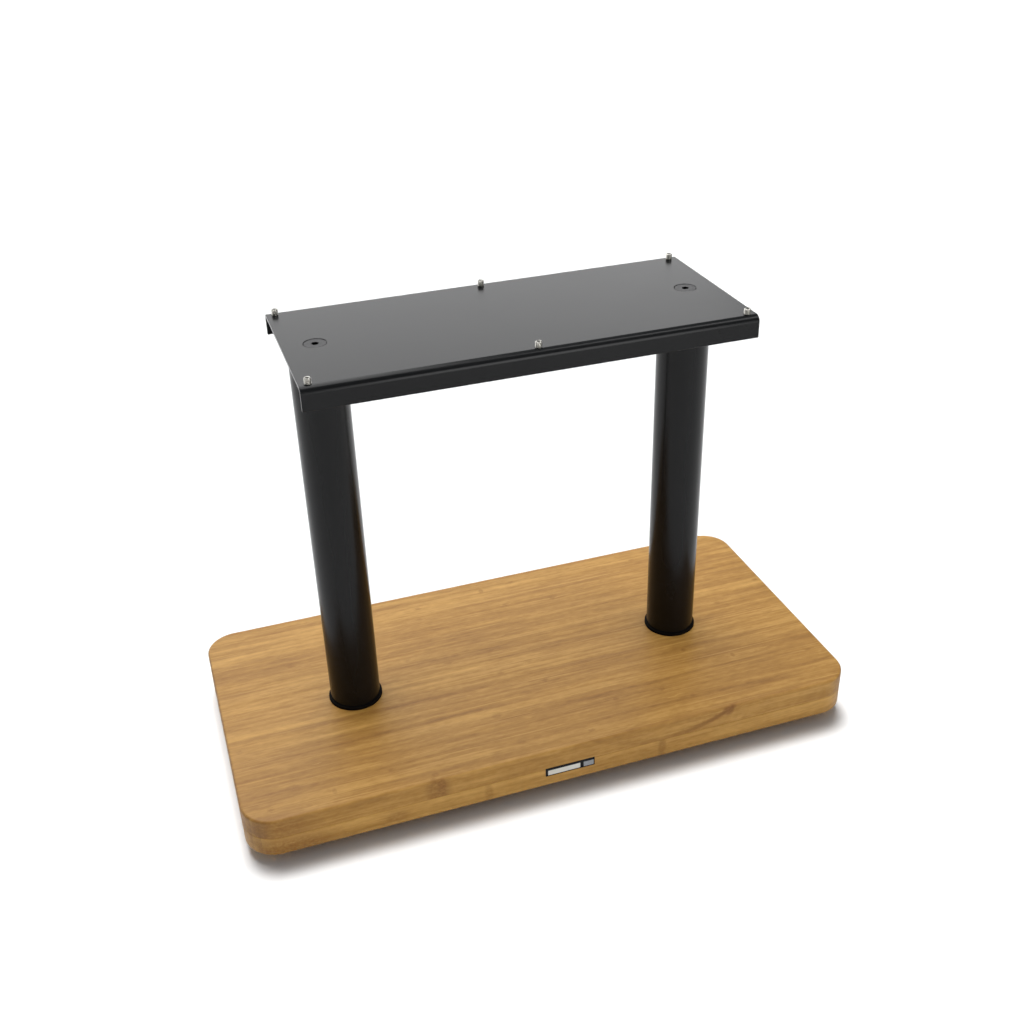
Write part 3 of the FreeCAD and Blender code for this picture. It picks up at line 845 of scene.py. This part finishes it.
# %% Who lights and shades whom
def group(name, members):
    """A collection that a light can be linked to."""
    collection = bpy.data.collections.new(name)
    for member in members:
        collection.objects.link(member)
    return collection


only_paper = group("only_paper", [floor])
all_but_paper = group("all_but_paper", [floor])
all_but_paper.collection_objects[0].light_linking.link_state = "EXCLUDE"
base_only = group("base_only", [nodes["base_board_upper"], nodes["base_board_lower"]])
print("three groups for light linking")

# %% Softboxes
def softbox(name, place, aim, size, radiance, gloss=False, fill=False, lights=None,
            shadows=None):
    """A rectangular light whose face has a given radiance, where white paper in full light
    is about one. Its power is radiance times pi times its area. Gloss and fill say
    whether it shows in reflections and whether it lights matt surfaces. Lights names the
    collection that it is linked to, and shadows the one that throws shadows in it."""
    light = bpy.data.lights.new(name, "AREA")
    light.shape = "RECTANGLE"
    light.size, light.size_y = size
    light.energy = radiance * math.pi * size[0] * size[1]
    box = bpy.data.objects.new(name, light)
    scene.collection.objects.link(box)
    back = np.array(place, float) - np.array(aim, float)
    back /= np.linalg.norm(back)
    right = np.cross((0.0, 0.0, 1.0) if abs(back[2]) < 0.95 else (0.0, 1.0, 0.0), back)
    right /= np.linalg.norm(right)
    set_place(box, right, np.cross(back, right), back, place)
    box.visible_camera = False
    box.visible_glossy = gloss
    box.visible_diffuse = fill
    if lights is not None:
        box.light_linking.receiver_collection = lights
    if shadows is not None:
        box.light_linking.blocker_collection = shadows
    return box


# name, place, aim, width and height, radiance
FILLS = (
    ("key_left", (-1.0, 0.20, 1.90), (0.0, 0.0, 0.1), (1.4, 1.4), 2.65),
    ("key_right", (1.0, 0.20, 1.90), (0.0, 0.0, 0.1), (1.4, 1.4), 2.95),
    ("key_rear", (0.0, 1.30, 1.90), (0.0, 0.0, 0.1), (2.6, 1.0), 4.45),
    ("key_front", (0.9, -0.90, 1.90), (0.0, 0.0, 0.1), (1.0, 1.0), 2.9),
    ("fill_front", (0.2, -3.0, 0.25), (0.0, 0.0, 0.05), (3.0, 0.5), 1.3),
)
SHEETS = (
    ("sheet_overhead", (-0.45, 0.70, 1.95), (-0.45, 0.70, 0.0), (1.5, 2.2), 4.2),
    ("sheet_behind", (-1.0, 3.4, 1.45), (-1.0, 0.0, 0.45), (6.5, 2.7), 1.76),
    ("sheet_front_low", (0.60, -1.90, 0.50), (0.1, 0.0, 0.40), (0.9, 0.9), 4.4),
    ("strip_right_high", (1.02, -0.50, 1.65), (0.1, -0.3, 0.35), (0.45, 1.3), 4.5),
)
PAPER_LIGHT_SPREAD = math.radians(34)

for entry in FILLS:
    softbox(*entry, fill=True, lights=all_but_paper)
for entry in SHEETS:
    softbox(*entry, gloss=True)
paper_light = softbox("paper_light", (0.0, 2.2, 7.0), (0.0, 0.0, 0.0), (28.0, 28.0), 1.08,
                      fill=True, lights=only_paper, shadows=base_only)
paper_light.data.spread = PAPER_LIGHT_SPREAD
print(len(FILLS), "lights for matt surfaces,", len(SHEETS), "sheets for gloss, one for the paper")

# %% Write the sizes and finish
low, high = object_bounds()
print("visual box", [round(v / MM, 2) for v in (high - low)], "mm")
